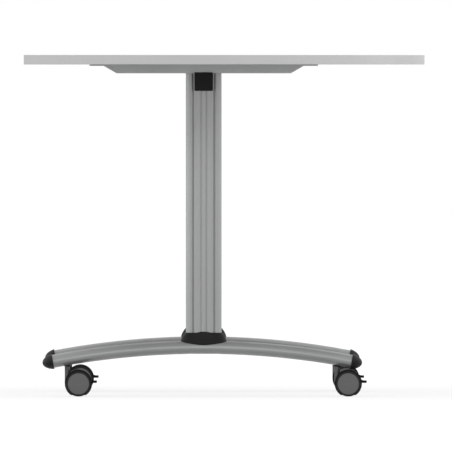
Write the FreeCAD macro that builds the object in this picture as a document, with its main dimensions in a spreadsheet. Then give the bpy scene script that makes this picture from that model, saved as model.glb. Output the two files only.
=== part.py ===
import FreeCAD, Part
import Sketcher
import math
import os
from FreeCAD import Placement, Rotation, Vector

# Half-round table on two T-legs. Millimetres, +Z up, origin on the floor under the middle of the top.
# +X runs from the straight edge to the crown of the round edge, +Y along the straight edge.

SIZES = (
    ("table_height", 720.0, "floor to the upper face of the top"),
    ("top_radius", 845.0, "radius of the half disc, straight edge to crown"),
    ("board_thickness", 20.0, "board and edge bands"),
    ("band_thickness", 2.0, "edge band around the board"),
    ("band_round", 1.0, "rounded outer corners of the edge bands"),
    ("leg_spacing", 740.0, "between the two column centres, along the straight edge"),
    ("leg_setback", 375.5, "straight edge to the column centres"),
    ("bracket_sheet", 3.0, "sheet of the pressed top bracket"),
    ("bracket_drop", 18.6, "underside of the board to the floor of the bracket pan"),
    ("bracket_bend", 2.4, "outer bend along the pan floor"),
    ("pan_floor_length", 367.0, "bracket pan at its floor"),
    ("pan_slope_run", 27.5, "sloping end of the pan, along X"),
    ("flange_end", 30.0, "bracket rim beyond the ends of the pan"),
    ("flange_side", 23.0, "bracket rim beyond the sides of the pan"),
    ("flange_corner", 12.0, "rounded corners of the bracket rim"),
    ("screw_end_inset", 15.0, "rim end to the end screws"),
    ("screw_end_spread", 56.0, "between the two screws of a rim end"),
    ("screw_side_reach", 210.0, "between the two screws of a rim side"),
    ("screw_side_inset", 11.0, "rim side to the side screws"),
    ("screw_shank", 4.5, "wood screw diameter"),
    ("screw_bite", 14.0, "wood screw length inside the board"),
    ("screw_head", 9.4, "countersunk head diameter"),
    ("screw_land", 0.3, "straight edge of the countersunk head"),
    ("screw_clearance", 0.3, "radial clearance of every screw hole"),
    ("column_width", 75.4, "column along X"),
    ("column_depth", 50.0, "column along Y"),
    ("column_corner", 19.0, "rounded corners of the column"),
    ("column_wall", 3.0, "walls of the extrusion"),
    ("groove_from_side", 15.5, "side of the column to the middle of a deep groove"),
    ("groove_width", 7.0, "deep groove"),
    ("groove_depth", 4.2, "deep groove"),
    ("flute_centre", 5.4, "column centre to the middle of a shallow flute"),
    ("flute_width", 4.4, "shallow flute"),
    ("flute_depth", 1.3, "shallow flute"),
    ("port_from_side", 9.7, "side of the column to a screw port"),
    ("port_bore", 7.4, "screw port and the shanks that cut into it"),
    ("port_wall", 5.8, "half thickness of the wall around a screw port"),
    ("port_bite", 24.0, "shank length inside a screw port"),
    ("crossbar_size", 35.0, "square crossbar tube"),
    ("crossbar_wall", 2.0, "crossbar tube"),
    ("crossbar_corner", 3.0, "rounded corners of the crossbar"),
    ("crossbar_clearance", 0.4, "crossbar to the sides of its notch"),
    ("crossbar_screw", 5.0, "screw from the pan into the crossbar"),
    ("crossbar_bite", 9.0, "crossbar screw below the pan floor"),
    ("plug_lip", 2.1, "face of a plug beyond the crossbar, all round"),
    ("plug_thickness", 2.6, "face of a crossbar plug"),
    ("plug_corner", 2.2, "rounded corners of a plug face"),
    ("plug_edge", 0.8, "rounded outer edge of a plug face"),
    ("plug_insert", 16.0, "plug inside the crossbar"),
    ("plug_wall", 4.0, "walls of the plug inside the crossbar"),
    ("plug_gap", 0.25, "plug to crossbar, column and bracket"),
    ("machine_head", 13.0, "head diameter of the port screws and foot bolts"),
    ("machine_head_height", 5.0, "head of the port screws and foot bolts"),
    ("saddle_crown", 3.9, "saddle between the top of the foot tube and the column"),
    ("saddle_inset", 1.2, "saddle inside the column outline"),
    ("boot_grip", 13.5, "boot above the lower end of the column"),
    ("boot_shoulder", 8.0, "rim of the boot down to its waist"),
    ("boot_gap", 0.3, "boot to column and foot tube"),
    ("boot_rim_x", 1.4, "rim beyond the column at each end, along X"),
    ("boot_rim_y", 1.8, "rim beyond the column at each side, along Y"),
    ("boot_rim_corner", 15.5, "rounded ends of the rim"),
    ("boot_rim_flat", 22.0, "flat left at each end of the rim"),
    ("boot_waist_x", 7.2, "waist beyond the column at each end, along X"),
    ("boot_waist_y", 2.9, "waist beyond the column at each side, along Y"),
    ("boot_waist_corner", 20.0, "rounded ends of the waist"),
    ("boot_waist_flat", 10.0, "flat left at each end of the waist"),
    ("boot_skirt_x", 12.3, "skirt beyond the column at each end, along X"),
    ("boot_skirt_y", 3.2, "skirt beyond the column at each side, along Y"),
    ("boot_skirt_corner", 23.0, "rounded ends of the skirt"),
    ("boot_skirt_flat", 2.0, "flat left at each end of the skirt"),
    ("crest_width", 30.0, "arched crest in the middle of the boot rim"),
    ("crest_height", 2.3, "arched crest in the middle of the boot rim"),
    ("crest_wall", 1.1, "arched crest in the middle of the boot rim"),
    ("arch_radius", 1690.0, "centre line of the arched foot"),
    ("arch_lift", 49.6, "top of the wheels to the centre line under the column"),
    ("foot_span", 629.6, "chord between the two ends of a foot tube"),
    ("foot_offset", 3.0, "middle of the foot from the column, towards the straight edge"),
    ("tube_width", 60.0, "oval foot tube, along Y"),
    ("tube_height", 27.6, "oval foot tube, upright"),
    ("tube_wall", 2.5, "foot tube"),
    ("access_margin", 1.5, "access hole around the head of each foot bolt"),
    ("cap_margin", 2.6, "end cap proud of the tube, all round"),
    ("cap_nose", 22.6, "end cap beyond the tube end"),
    ("cap_bluntness", 8.0, "rim of the cap to the widest place of its nose shape"),
    ("cap_bush_gap", 4.0, "end cap inside the tube, short of the bush"),
    ("cap_gap", 0.3, "end cap to the inside of the tube"),
    ("castor_spread", 569.0, "between the two stems of a foot"),
    ("bush_diameter", 14.0, "stem bush and its hole in the foot tube"),
    ("bush_proud", 2.4, "bush below the foot tube"),
    ("bush_headroom", 3.5, "closed end of the bush below the upper wall of the tube"),
    ("bush_end_wall", 3.0, "closed end of the bush to the tip of the stem"),
    ("stem_diameter", 11.3, "stem below the foot"),
    ("stem_pin", 8.0, "stem inside the bush"),
    ("stem_shoulder_gap", 0.4, "stem shoulder below the bush, pin below its end"),
    ("running_clearance", 0.06, "radial clearance of every turning fit"),
    ("wheel_diameter", 53.8, "tyre"),
    ("wheel_width", 13.0, "one of the two wheels"),
    ("wheel_gap", 0.6, "wheel to the web, and tyre to the fender"),
    ("tyre_round", 3.0, "rounded shoulders of the tyre"),
    ("tyre_depth", 4.4, "tyre around the hub disc"),
    ("rim_dome", 0.7, "crown of the hub disc"),
    ("rim_wall", 1.5, "wall of the hub disc below the tyre"),
    ("rim_recess_depth", 8.0, "hollow on the inner side of the hub disc"),
    ("rim_hub", 13.0, "boss around the axle"),
    ("axle_diameter", 6.0, "axle"),
    ("axle_cover", 3.6, "hub disc left over the end of the axle"),
    ("trail", 23.4, "stem to axle"),
    ("web_thickness", 13.0, "castor web between the wheels"),
    ("fender_wall", 1.3, "fender beside the tyres"),
    ("fender_inset", 0.8, "rims of the fender inside the outer faces of the wheels"),
    ("fender_edge", 0.5, "rounded rims of the fender"),
    ("hood_rise", 1.5, "centre of the upper outline above the axle"),
    ("hood_cut", 2.7, "floor to the flat lower edge of the web"),
    ("slot_left", 5.0, "axle to the near end of the pedal slot"),
    ("slot_low", 6.5, "pedal slot below the axle"),
    ("slot_high", 20.0, "pedal slot above the axle"),
    ("slot_gap", 0.35, "pedal arm to the sides of its slot"),
    ("pivot_x", 17.0, "axle to the pedal pivot, level"),
    ("pivot_z", 8.0, "axle to the pedal pivot, upright"),
    ("trunnion", 4.0, "pivot pins of the pedal"),
    ("pivot_boss", 3.4, "pedal arm around the pivot"),
    ("cheek", 2.35, "walls of the web beside the pedal arm"),
    ("shoe_x", 9.0, "axle to the brake shoe, level"),
    ("shoe_z", 14.0, "axle to the brake shoe, upright"),
    ("shoe_diameter", 4.0, "brake shoe stud"),
    ("shoe_reach", 3.4, "brake shoe inside each wheel"),
    ("shoe_swing", 1.0, "middle of the shoe's travel, level and upright"),
    ("shoe_window", 9.6, "opening of the web around the brake shoe"),
    ("pad_gap", 2.2, "fender to the pedal pad"),
    ("pad_length", 7.9, "pedal pad, along X"),
    ("pad_width", 18.0, "pedal pad, along Y"),
    ("pad_thickness", 5.2, "pedal pad"),
    ("pad_height", 4.2, "axle to the middle of the pedal pad"),
    ("pad_edge", 1.2, "rounded edges of the pedal pad"),
)

doc = FreeCAD.newDocument("half_round_table")
sheet = doc.addObject("Spreadsheet::Sheet", "sizes")
for row, (alias, value, note) in enumerate(SIZES, start=1):
    sheet.set(f"A{row}", note)
    sheet.set(f"B{row}", str(value))
    sheet.setAlias(f"B{row}", alias)
doc.recompute()

UNDERSIDE = "(sizes.table_height - sizes.board_thickness)"
RIM_UNDER = f"({UNDERSIDE} - sizes.bracket_sheet)"
PAN_FLOOR = f"({UNDERSIDE} - sizes.bracket_drop)"
PAN_INSIDE = f"({PAN_FLOOR} + sizes.bracket_sheet)"
STRAIGHT_EDGE = "(-sizes.top_radius / 2)"
LEG_X = f"({STRAIGHT_EDGE} + sizes.leg_setback)"
LEG_Y = "(sizes.leg_spacing / 2)"
FOOT_X = f"({LEG_X} - sizes.foot_offset)"
BOARD_RADIUS = "(sizes.top_radius - sizes.band_thickness)"
BAND_HALF = f"sqrt({BOARD_RADIUS}^2 - sizes.band_thickness^2)"
HALF_WIDTH = "(sizes.column_width / 2)"
HALF_DEPTH = "(sizes.column_depth / 2)"
RIM_LENGTH = "(sizes.pan_floor_length + 2 * sizes.pan_slope_run + 2 * sizes.flange_end)"
RIM_WIDTH = "(sizes.column_depth + 2 * sizes.flange_side)"
GROOVE_X = f"({HALF_WIDTH} - sizes.groove_from_side)"
PORT_X = f"({HALF_WIDTH} - sizes.port_from_side)"
SCREW_HOLE = "(sizes.screw_shank + 2 * sizes.screw_clearance)"
SCREW_CONE = "((sizes.screw_head - sizes.screw_shank) / 2)"
PORT_HOLE = "(sizes.port_bore + 2 * sizes.screw_clearance)"
NOTCH_HALF = "(sizes.crossbar_size / 2 + sizes.crossbar_clearance)"
CROSSBAR_MIDDLE = f"({PAN_FLOOR} - sizes.crossbar_size / 2)"
BAR_END = f"({HALF_DEPTH} + sizes.plug_gap)"
PLUG_SIZE = "(sizes.crossbar_size + 2 * sizes.plug_lip)"
ARCH_HEIGHT = "(sizes.wheel_diameter + sizes.arch_lift)"
ARCH_CENTRE = f"({ARCH_HEIGHT} - sizes.arch_radius)"
SADDLE_TOP = f"({ARCH_HEIGHT} + sizes.tube_height / 2 + sizes.saddle_crown)"
BOOT_TOP = f"({SADDLE_TOP} + sizes.boot_grip)"
FOOT_ANGLE = "asin(sizes.foot_span / 2 / sizes.arch_radius)"
CASTOR_X = "(sizes.castor_spread / 2)"
STEM_ARCH = f"({ARCH_CENTRE} + sqrt(sizes.arch_radius^2 - {CASTOR_X}^2))"
BUSH_BOTTOM = f"({STEM_ARCH} - sizes.tube_height / 2 - sizes.bush_proud)"
BUSH_TOP = f"({STEM_ARCH} + sizes.tube_height / 2 - sizes.tube_wall - sizes.bush_headroom)"
STEM_TIP = f"({BUSH_TOP} - sizes.bush_end_wall)"
WHEEL_RADIUS = "(sizes.wheel_diameter / 2)"
RIM_RADIUS = f"({WHEEL_RADIUS} - sizes.tyre_depth)"
FENDER_INSIDE = f"({WHEEL_RADIUS} + sizes.wheel_gap)"
HOOD_RADIUS = f"({FENDER_INSIDE} + sizes.fender_wall)"
WHEEL_INSIDE = "(sizes.web_thickness / 2 + sizes.wheel_gap)"
WHEEL_OUTSIDE = f"({WHEEL_INSIDE} + sizes.wheel_width)"
AXLE_END = f"({WHEEL_OUTSIDE} - sizes.axle_cover)"
FENDER_WIDTH = f"(2 * ({WHEEL_OUTSIDE} - sizes.fender_inset))"
ARM_THICKNESS = "(sizes.web_thickness - 2 * sizes.cheek - 2 * sizes.slot_gap)"
PAD_START = f"({HOOD_RADIUS} + sizes.pad_gap)"
PAD_TIP = f"({PAD_START} + sizes.pad_length)"

SIDES = {"left": 1, "right": -1}
ENDS = {"front": 1, "rear": -1}
RIGHT_ANGLE, HALF_TURN, FULL_TURN = 90, 180, 360
SAME_PLACE = 1e-3


def number(expression):
    value = sheet.evalExpression(expression)
    return float(getattr(value, "Value", value))


def bind(feature, **expressions):
    for name, expression in expressions.items():
        feature.setExpression(name, expression)


def negative(expression):
    return f"-({expression})"


def signed(sign, expression):
    return expression if sign > 0 else negative(expression)


def new_body(name, x="0", y="0", z="0"):
    body = doc.addObject("PartDesign::Body", name)
    body.Label = name
    for axis, expression in zip("xyz", (x, y, z)):
        body.setExpression(f"Placement.Base.{axis}", expression)
    return body


def origin_feature(body, role):
    return next(item for item in body.Origin.OriginFeatures if item.Role == role)


def new_sketch(body, name, role, height="0"):
    sketch = body.newObject("Sketcher::SketchObject", name)
    sketch.AttachmentSupport = [(origin_feature(body, role), "")]
    sketch.MapMode = "FlatFace"
    sketch.setExpression("AttachmentOffset.Base.z", height)
    return sketch


def dimension(sketch, kind, expression, *place):
    index = sketch.addConstraint(Sketcher.Constraint(kind, *place, number(expression)))
    name = f"{kind}_{index}"
    sketch.renameConstraint(index, name)
    sketch.setExpression(f"Constraints.{name}", expression)


def hold_point(sketch, geometry, end, x, y):
    dimension(sketch, "DistanceX", x, -1, 1, geometry, end)
    dimension(sketch, "DistanceY", y, -1, 1, geometry, end)


def arc_radius(chord, height):
    return f"((({chord} / 2)^2 + {height}^2) / (2 * {height}))"


def arc_between(start, end, centre, turns_left):
    first, last = (start, end) if turns_left else (end, start)
    radius = math.dist(centre, start)
    begin = math.atan2(first[1] - centre[1], first[0] - centre[0])
    finish = math.atan2(last[1] - centre[1], last[0] - centre[0])
    if finish <= begin:
        finish += 2 * math.pi
    circle = Part.Circle(Vector(*centre, 0), Vector(0, 0, 1), radius)
    return Part.ArcOfCircle(circle, begin, finish)


def outline(sketch, corners, arcs=None):
    # closed chain of lines through the corners; arcs maps an edge to (centre x, centre y, turns left)
    arcs = arcs or {}
    places = [(number(x), number(y)) for x, y in corners]
    ids = []
    for edge, start in enumerate(places):
        end = places[(edge + 1) % len(places)]
        if edge in arcs:
            centre = (number(arcs[edge][0]), number(arcs[edge][1]))
            shape = arc_between(start, end, centre, arcs[edge][2])
        else:
            shape = Part.LineSegment(Vector(*start, 0), Vector(*end, 0))
        ids.append(sketch.addGeometry(shape))

    def ends_of(edge):
        return (1, 2) if edge not in arcs or arcs[edge][2] else (2, 1)

    for edge, geometry in enumerate(ids):
        after = (edge + 1) % len(ids)
        joint = Sketcher.Constraint("Coincident", geometry, ends_of(edge)[1], ids[after], ends_of(after)[0])
        sketch.addConstraint(joint)
    for edge, (x, y) in enumerate(corners):
        hold_point(sketch, ids[edge], ends_of(edge)[0], x, y)
    for edge, (x, y, _) in arcs.items():
        start, end = places[edge], places[(edge + 1) % len(places)]
        level = abs(end[0] - start[0]) >= abs(end[1] - start[1])
        kind, expression = ("DistanceY", y) if level else ("DistanceX", x)
        dimension(sketch, kind, expression, -1, 1, ids[edge], 3)


def rectangle(sketch, left, right, low, high):
    outline(sketch, [(left, low), (right, low), (right, high), (left, high)])


def rounded_rectangle(sketch, length, width, corner, middle="0"):
    half_x, half_y = f"({length}) / 2", f"({width}) / 2"
    inner_x, inner_y = f"({half_x} - {corner})", f"({half_y} - {corner})"
    up = [f"({middle} + {inner_y})", f"({middle} + {half_y})"]
    down = [f"({middle} - {inner_y})", f"({middle} - {half_y})"]
    corners = [
        (half_x, down[0]), (half_x, up[0]),
        (inner_x, up[1]), (negative(inner_x), up[1]),
        (negative(half_x), up[0]), (negative(half_x), down[0]),
        (negative(inner_x), down[1]), (inner_x, down[1]),
    ]
    arcs = {
        1: (inner_x, up[0], True),
        3: (negative(inner_x), up[0], True),
        5: (negative(inner_x), down[0], True),
        7: (inner_x, down[0], True),
    }
    outline(sketch, corners, arcs)


def lens(sketch, half_x, half_y, corner, flat):
    # oblong with bowed long sides, its rounded ends tangent to them and to a short flat
    end_x, end_y = f"({half_x} - {corner})", f"({flat} / 2)"
    drop = f"({half_y} - {end_y})"
    bow = f"(({end_x}^2 + {drop}^2 - {corner}^2) / (2 * ({drop} - {corner})))"
    middle = f"({half_y} - {bow})"
    share = f"({corner} / ({bow} - {corner}))"
    touch_x = f"({end_x} * (1 + {share}))"
    touch_y = f"({end_y} + ({end_y} - {middle}) * {share})"
    corners, arcs = [], {}
    for sign in (1, -1):
        base = len(corners)
        corners += [
            (signed(sign, half_x), signed(-sign, end_y)), (signed(sign, half_x), signed(sign, end_y)),
            (signed(sign, touch_x), signed(sign, touch_y)), (signed(-sign, touch_x), signed(sign, touch_y)),
        ]
        arcs[base + 1] = (signed(sign, end_x), signed(sign, end_y), True)
        arcs[base + 2] = ("0", signed(sign, middle), True)
        arcs[base + 3] = (signed(-sign, end_x), signed(sign, end_y), True)
    outline(sketch, corners, arcs)


def circle(sketch, x, y, diameter):
    shape = Part.Circle(Vector(number(x), number(y), 0), Vector(0, 0, 1), number(diameter) / 2)
    geometry = sketch.addGeometry(shape)
    hold_point(sketch, geometry, 3, x, y)
    dimension(sketch, "Diameter", diameter, geometry)


def ellipse(sketch, y, half_length, half_height):
    # level ellipse centred on the upright axis of the sketch
    wide, tall, middle = number(half_length), number(half_height), number(y)
    shape = Part.Ellipse(Vector(wide, middle, 0), Vector(0, middle + tall, 0), Vector(0, middle, 0))
    geometry = sketch.addGeometry(shape)
    hold_point(sketch, geometry, 3, "0", y)
    sketch.exposeInternalGeometry(geometry)
    long_axis, short_axis = geometry + 1, geometry + 2
    sketch.addConstraint(Sketcher.Constraint("Horizontal", long_axis))
    dimension(sketch, "Distance", f"2 * {half_length}", long_axis)
    dimension(sketch, "Distance", f"2 * {half_height}", short_axis)


def arch_axis(sketch):
    # level line through the centre of the arch, the axis that the oval section turns about
    depth = number(ARCH_CENTRE)
    line = Part.LineSegment(Vector(0, depth, 0), Vector(number("sizes.tube_width"), depth, 0))
    geometry = sketch.addGeometry(line, True)
    hold_point(sketch, geometry, 1, "0", ARCH_CENTRE)
    hold_point(sketch, geometry, 2, "sizes.tube_width", ARCH_CENTRE)


def pad(body, sketch, length, symmetric=False, downward=False):
    feature = body.newObject("PartDesign::Pad", f"{sketch.Name}_pad")
    feature.Profile = sketch
    feature.SideType = "Symmetric" if symmetric else "One side"
    feature.Reversed = downward
    bind(feature, Length=length)
    return feature


def pocket(body, sketch, length=None, symmetric=False, upward=False):
    feature = body.newObject("PartDesign::Pocket", f"{sketch.Name}_pocket")
    feature.Profile = sketch
    feature.SideType = "Symmetric" if symmetric else "One side"
    feature.Reversed = upward
    if length:
        bind(feature, Length=length)
    else:
        feature.Type = "ThroughAll"
    return feature


def revolve(body, sketch, axis, kind="Revolution", angle=str(FULL_TURN)):
    feature = body.newObject(f"PartDesign::{kind}", f"{sketch.Name}_turn")
    feature.Profile = sketch
    feature.ReferenceAxis = axis
    feature.Midplane = True
    bind(feature, Angle=angle)
    return feature


def round_edges(body, base, radius, wanted):
    doc.recompute()
    names = [f"Edge{i}" for i, edge in enumerate(base.Shape.Edges, start=1) if wanted(edge)]
    feature = body.newObject("PartDesign::Fillet", f"{base.Name}_round")
    feature.Base = (base, names)
    bind(feature, Radius=radius)
    return feature


def bevel_edges(body, base, size, wanted):
    doc.recompute()
    names = [f"Edge{i}" for i, edge in enumerate(base.Shape.Edges, start=1) if wanted(edge)]
    feature = body.newObject("PartDesign::Chamfer", f"{base.Name}_bevel")
    feature.Base = (base, names)
    bind(feature, Size=size)
    return feature


def near(value, expression):
    return abs(value - number(expression)) < SAME_PLACE


def level_circle(edge, height, diameter):
    box = edge.BoundBox
    flat = near(box.ZMin, height) and near(box.ZMax, height)
    return flat and isinstance(edge.Curve, Part.Circle) and near(edge.Curve.Radius, f"{diameter} / 2")


def stem_offset(end):
    return f"({signed(end, CASTOR_X)} - sizes.foot_offset)"


def screw_places():
    # rim screws of one bracket, from the column centre
    end_x = f"({RIM_LENGTH} / 2 - sizes.screw_end_inset)"
    side_y = f"({RIM_WIDTH} / 2 - sizes.screw_side_inset)"
    rows = ((end_x, "sizes.screw_end_spread / 2"), ("sizes.screw_side_reach / 2", side_y))
    return [(signed(i, x), signed(j, y)) for x, y in rows for i in (1, -1) for j in (1, -1)]


def rim_screw_circles(sketch, diameter):
    for side in SIDES.values():
        for x, y in screw_places():
            circle(sketch, f"{LEG_X} + {x}", f"{signed(side, LEG_Y)} + {y}", diameter)


def tabletop_board():
    body = new_body("tabletop_board")
    plan = new_sketch(body, "board_plan", "XY_Plane", UNDERSIDE)
    edge = f"({STRAIGHT_EDGE} + sizes.band_thickness)"
    outline(plan, [(edge, negative(BAND_HALF)), (edge, BAND_HALF)], {0: (STRAIGHT_EDGE, "0", True)})
    pad(body, plan, "sizes.board_thickness")
    pilots = new_sketch(body, "board_pilots", "XY_Plane", UNDERSIDE)
    rim_screw_circles(pilots, "sizes.screw_shank")
    pocket(body, pilots, "sizes.screw_bite", upward=True)
    return body


def band_section(sketch, inner, outer, sign):
    # strip of edge band with its two outer corners rounded
    top, low, round_off = "sizes.table_height", UNDERSIDE, "sizes.band_round"
    shoulder = f"{outer} - {round_off}" if sign > 0 else f"{outer} + {round_off}"
    corners = [
        (inner, low), (shoulder, low), (outer, f"{low} + {round_off}"),
        (outer, f"{top} - {round_off}"), (shoulder, top), (inner, top),
    ]
    arcs = {
        1: (shoulder, f"{low} + {round_off}", sign > 0),
        3: (shoulder, f"{top} - {round_off}", sign > 0),
    }
    outline(sketch, corners, arcs)


def round_edge_band():
    body = new_body("round_edge_band", x=STRAIGHT_EDGE)
    section = new_sketch(body, "round_band_section", "XZ_Plane")
    band_section(section, BOARD_RADIUS, "sizes.top_radius", 1)
    revolve(body, section, (origin_feature(body, "Z_Axis"), [""]), angle=str(HALF_TURN))
    return body


def straight_edge_band():
    body = new_body("straight_edge_band", x=STRAIGHT_EDGE)
    section = new_sketch(body, "straight_band_section", "XZ_Plane")
    band_section(section, "sizes.band_thickness", "0", -1)
    pad(body, section, f"2 * {BAND_HALF}", symmetric=True)
    return body


def top_bracket(name, side):
    body = new_body(f"top_bracket_{name}", LEG_X, signed(side, LEG_Y))
    run, rise = "sizes.pan_slope_run", "(sizes.bracket_drop - sizes.bracket_sheet)"
    floor_half = "(sizes.pan_floor_length / 2)"
    top_half = f"({floor_half} + {run})"
    section = new_sketch(body, f"pan_section_{name}", "XZ_Plane")
    outline(section, [
        (negative(floor_half), PAN_FLOOR), (floor_half, PAN_FLOOR),
        (top_half, RIM_UNDER), (negative(top_half), RIM_UNDER),
    ])
    outside = pad(body, section, "sizes.column_depth", symmetric=True)

    def floor_edge(edge):
        box = edge.BoundBox
        return near(box.ZMin, PAN_FLOOR) and near(box.ZMax, PAN_FLOOR) and box.XLength > box.YLength

    round_edges(body, outside, "sizes.bracket_bend", floor_edge)
    rim = new_sketch(body, f"rim_plan_{name}", "XY_Plane", RIM_UNDER)
    rounded_rectangle(rim, RIM_LENGTH, RIM_WIDTH, "sizes.flange_corner")
    pad(body, rim, "sizes.bracket_sheet")

    skew = f"(sizes.bracket_sheet * sqrt({run}^2 + {rise}^2) / {rise})"
    low_half = f"({floor_half} + {run} * sizes.bracket_sheet / {rise} - {skew})"
    high_half = f"({floor_half} + {run} * sizes.bracket_drop / {rise} - {skew})"
    hollow = new_sketch(body, f"pan_hollow_{name}", "XZ_Plane")
    outline(hollow, [
        (negative(low_half), PAN_INSIDE), (low_half, PAN_INSIDE),
        (high_half, UNDERSIDE), (negative(high_half), UNDERSIDE),
    ])
    pocket(body, hollow, "sizes.column_depth - 2 * sizes.bracket_sheet", symmetric=True)

    holes = new_sketch(body, f"bracket_holes_{name}", "XY_Plane", UNDERSIDE)
    for x, y in screw_places():
        circle(holes, x, y, SCREW_HOLE)
    for sign in (1, -1):
        circle(holes, signed(sign, PORT_X), "0", PORT_HOLE)
    circle(holes, "0", "0", "sizes.crossbar_screw + 2 * sizes.screw_clearance")
    drilled = pocket(body, holes)
    sink = "(sizes.screw_head / 2 + sizes.screw_land) - sizes.screw_shank / 2 - sizes.screw_clearance"
    bevel_edges(body, drilled, sink, lambda edge: level_circle(edge, RIM_UNDER, SCREW_HOLE))
    return body


def column_quarter():
    # outline from the side of the column to the middle of its face, one quarter
    corner_x, corner_y = f"({HALF_WIDTH} - sizes.column_corner)", f"({HALF_DEPTH} - sizes.column_corner)"
    outer = f"({GROOVE_X} + sizes.groove_width / 2)"
    inner = f"({GROOVE_X} - sizes.groove_width / 2)"
    lip = f"({corner_y} + sqrt(sizes.column_corner^2 - ({outer} - {corner_x})^2))"
    bed = f"({HALF_DEPTH} - sizes.groove_depth)"
    bowl = arc_radius("sizes.groove_width", f"({lip} - {bed})")
    far_flute = "(sizes.flute_centre + sizes.flute_width / 2)"
    near_flute = "(sizes.flute_centre - sizes.flute_width / 2)"
    sweep = arc_radius("sizes.flute_width", "sizes.flute_depth")
    corners = [
        (HALF_WIDTH, corner_y), (outer, lip), (inner, lip),
        (inner, HALF_DEPTH), (far_flute, HALF_DEPTH), (near_flute, HALF_DEPTH),
    ]
    arcs = {
        0: (corner_x, corner_y, True),
        1: (GROOVE_X, f"{bed} + {bowl}", False),
        4: ("sizes.flute_centre", f"{HALF_DEPTH} - sizes.flute_depth + {sweep}", False),
    }
    return corners, arcs


def column_outline(sketch):
    corners, arcs = [], {}
    quarter, quarter_arcs = column_quarter()
    last = len(quarter) - 1
    for sign_x, sign_y in ((1, 1), (-1, 1), (-1, -1), (1, -1)):
        flipped = sign_x != sign_y
        base = len(corners)
        points = [(signed(sign_x, x), signed(sign_y, y)) for x, y in quarter]
        corners += points[::-1] if flipped else points
        for edge, (x, y, turns_left) in quarter_arcs.items():
            place = base + (last - 1 - edge if flipped else edge)
            arcs[place] = (signed(sign_x, x), signed(sign_y, y), turns_left)
    outline(sketch, corners, arcs)


def column_chambers(sketch):
    # one middle chamber, four corner chambers and two round screw ports
    wall = "sizes.column_wall"
    middle_half = f"({GROOVE_X} - sizes.groove_width / 2 - {wall} / 2)"
    face_half = f"({HALF_DEPTH} - sizes.flute_depth - {wall})"
    rounded_rectangle(sketch, f"2 * {middle_half}", f"2 * {face_half}", wall)
    corner_x, corner_y = f"({HALF_WIDTH} - sizes.column_corner)", f"({HALF_DEPTH} - sizes.column_corner)"
    reach = f"(sizes.column_corner - {wall})"
    start = f"({middle_half} + {wall})"
    ceiling = f"({HALF_DEPTH} - sizes.groove_depth - {wall})"
    side_x = f"({corner_x} + sqrt({reach}^2 - (sizes.port_wall - {corner_y})^2))"
    end_x = f"({corner_x} + sqrt({reach}^2 - ({ceiling} - {corner_y})^2))"
    chamber = [(start, "sizes.port_wall"), (side_x, "sizes.port_wall"), (end_x, ceiling), (start, ceiling)]
    for i in (1, -1):
        for j in (1, -1):
            corners = [(signed(i, x), signed(j, y)) for x, y in chamber]
            outline(sketch, corners, {1: (signed(i, corner_x), signed(j, corner_y), i == j)})
        circle(sketch, signed(i, PORT_X), "0", "sizes.port_bore")


def column(name, side):
    body = new_body(f"column_{name}", LEG_X, signed(side, LEG_Y))
    plan = new_sketch(body, f"column_plan_{name}", "XY_Plane", SADDLE_TOP)
    column_outline(plan)
    pad(body, plan, f"{PAN_FLOOR} - {SADDLE_TOP}")
    chambers = new_sketch(body, f"column_chambers_{name}", "XY_Plane", SADDLE_TOP)
    column_chambers(chambers)
    pocket(body, chambers, upward=True)
    notch = new_sketch(body, f"column_notch_{name}", "XZ_Plane")
    seat = f"({PAN_FLOOR} - sizes.crossbar_size)"
    rectangle(notch, negative(NOTCH_HALF), NOTCH_HALF, seat, "sizes.table_height")
    pocket(body, notch, symmetric=True)
    return body


def crossbar():
    body = new_body("crossbar", LEG_X)
    section = new_sketch(body, "crossbar_section", "XZ_Plane")
    size, corner = "sizes.crossbar_size", "sizes.crossbar_corner"
    rounded_rectangle(section, size, size, corner, CROSSBAR_MIDDLE)
    inside = f"({size} - 2 * sizes.crossbar_wall)"
    rounded_rectangle(section, inside, inside, f"({corner} - sizes.crossbar_wall)", CROSSBAR_MIDDLE)
    pad(body, section, f"2 * ({LEG_Y} + {BAR_END})", symmetric=True)
    holes = new_sketch(body, "crossbar_holes", "XY_Plane", CROSSBAR_MIDDLE)
    for side in SIDES.values():
        circle(holes, "0", signed(side, LEG_Y), "sizes.crossbar_screw")
    pocket(body, holes, upward=True)
    return body


def crossbar_plug(name, side):
    body = new_body(f"crossbar_plug_{name}", LEG_X, signed(side, f"({LEG_Y} + {BAR_END})"))
    face = new_sketch(body, f"plug_face_{name}", "XZ_Plane")
    rounded_rectangle(face, PLUG_SIZE, PLUG_SIZE, "sizes.plug_corner", CROSSBAR_MIDDLE)
    pad(body, face, "sizes.plug_thickness", downward=side > 0)
    insert = new_sketch(body, f"plug_insert_{name}", "XZ_Plane")
    inside = "(sizes.crossbar_size - 2 * sizes.crossbar_wall - 2 * sizes.plug_gap)"
    rounded_rectangle(insert, inside, inside, "sizes.plug_corner", CROSSBAR_MIDDLE)
    core = f"({inside} - 2 * sizes.plug_wall)"
    rounded_rectangle(insert, core, core, "sizes.plug_corner", CROSSBAR_MIDDLE)
    whole = pad(body, insert, "sizes.plug_insert", downward=side < 0)

    def outer_edge(edge):
        box = edge.BoundBox
        front = signed(side, "sizes.plug_thickness")
        return near(box.YMin, front) and near(box.YMax, front)

    round_edges(body, whole, "sizes.plug_edge", outer_edge)
    return body


def cut_for_tube(body, name, gap):
    # takes the arched oval tube, larger by the gap, out of the body
    section = new_sketch(body, f"tube_cut_{name}", "YZ_Plane", "-sizes.foot_offset")
    arch_axis(section)
    ellipse(section, ARCH_HEIGHT, f"(sizes.tube_width / 2 + {gap})", f"(sizes.tube_height / 2 + {gap})")
    revolve(body, section, (section, ["Axis0"]), "Groove", f"2 * {FOOT_ANGLE}")


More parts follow.
